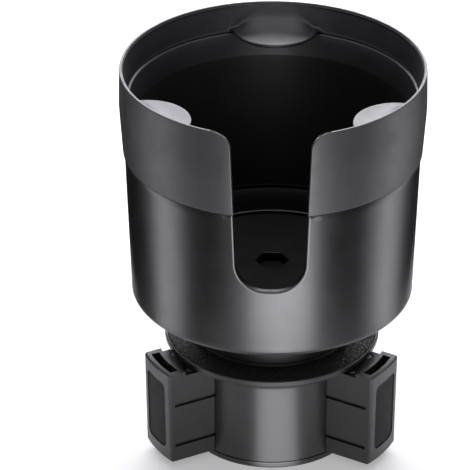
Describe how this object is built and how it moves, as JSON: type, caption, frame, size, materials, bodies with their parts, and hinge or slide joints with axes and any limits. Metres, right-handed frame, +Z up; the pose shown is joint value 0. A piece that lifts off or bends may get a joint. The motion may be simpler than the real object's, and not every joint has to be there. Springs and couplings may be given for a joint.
{
  "type": "cup holder expander",
  "caption": "Cup-shaped car cup holder expander with a handle notch, a soft grip ring inside and a base whose legs slide in and out as the cup is turned.",
  "frame": {"origin": "on the turning axis at the underside of the base, where the part stands", "axes": "+Z up along the turning axis, -Y towards the handle notch, +X to its right seen from the front"},
  "size_m": [0.1092, 0.1073, 0.148],
  "materials": {
    "cup_gloss": "dark grey moulded plastic with a soft gloss",
    "collar_matte": "dark grey, fine matte texture",
    "liner_soft": "dark grey soft elastomer, matte",
    "floor_black": "black, polished",
    "neck_black": "black, satin",
    "base_gloss": "dark grey moulded plastic with a soft gloss",
    "grained_black": "black, leather-like grain",
    "leg_satin": "dark grey, fine satin texture",
    "grip_rubber": "black, matte",
    "acetal": "off-white bearing plastic",
    "steel": "zinc-plated, satin"
  },
  "bodies": {
    "base": {"housing": "base_gloss", "top_pad": "grained_black", "base_cover": "base_gloss", "cover_screw_1": "steel", "cover_screw_2": "steel", "cover_screw_3": "steel", "thrust_washer": "acetal"},
    "cup": {"cup_shell": "cup_gloss", "collar": "collar_matte", "grip_liner": "liner_soft", "floor_ring": "floor_black", "floor_disc": "floor_black", "neck": "neck_black", "neck_screw_1": "steel", "neck_screw_2": "steel", "neck_screw_3": "steel", "clamp_bolt": "steel", "bolt_washer": "steel", "scroll_plate": "acetal", "nut_washer": "steel", "lock_nut": "steel"},
    "leg_back": {"leg_back": "leg_satin", "leg_pad_back": "grip_rubber", "pin_carrier_back": "acetal", "arm_screw_back_1": "steel", "arm_screw_back_2": "steel"},
    "leg_left": {"leg_left": "leg_satin", "leg_pad_left": "grip_rubber", "pin_carrier_left": "acetal", "arm_screw_left_1": "steel", "arm_screw_left_2": "steel"},
    "leg_right": {"leg_right": "leg_satin", "leg_pad_right": "grip_rubber", "pin_carrier_right": "acetal", "arm_screw_right_1": "steel", "arm_screw_right_2": "steel"}
  },
  "joints": [
    {"name": "cup_turn", "type": "hinge", "parent": "base", "child": "cup", "pos_m": [0, 0, 0], "axis": [0, 0, 1], "range_deg": [0, 150]},
    {"name": "leg_back_slide", "type": "slide", "parent": "base", "child": "leg_back", "axis": [0, 1, 0], "range_m": [-0.014, 0]},
    {"name": "leg_left_slide", "type": "slide", "parent": "base", "child": "leg_left", "axis": [-0.866, -0.5, 0], "range_m": [-0.014, 0]},
    {"name": "leg_right_slide", "type": "slide", "parent": "base", "child": "leg_right", "axis": [0.866, -0.5, 0], "range_m": [-0.014, 0]}
  ],
  "couplings": [
    {"joint": "leg_back_slide", "follows": "cup_turn", "m_per_rad": -0.0053475},
    {"joint": "leg_left_slide", "follows": "cup_turn", "m_per_rad": -0.0053475},
    {"joint": "leg_right_slide", "follows": "cup_turn", "m_per_rad": -0.0053475}
  ]
}
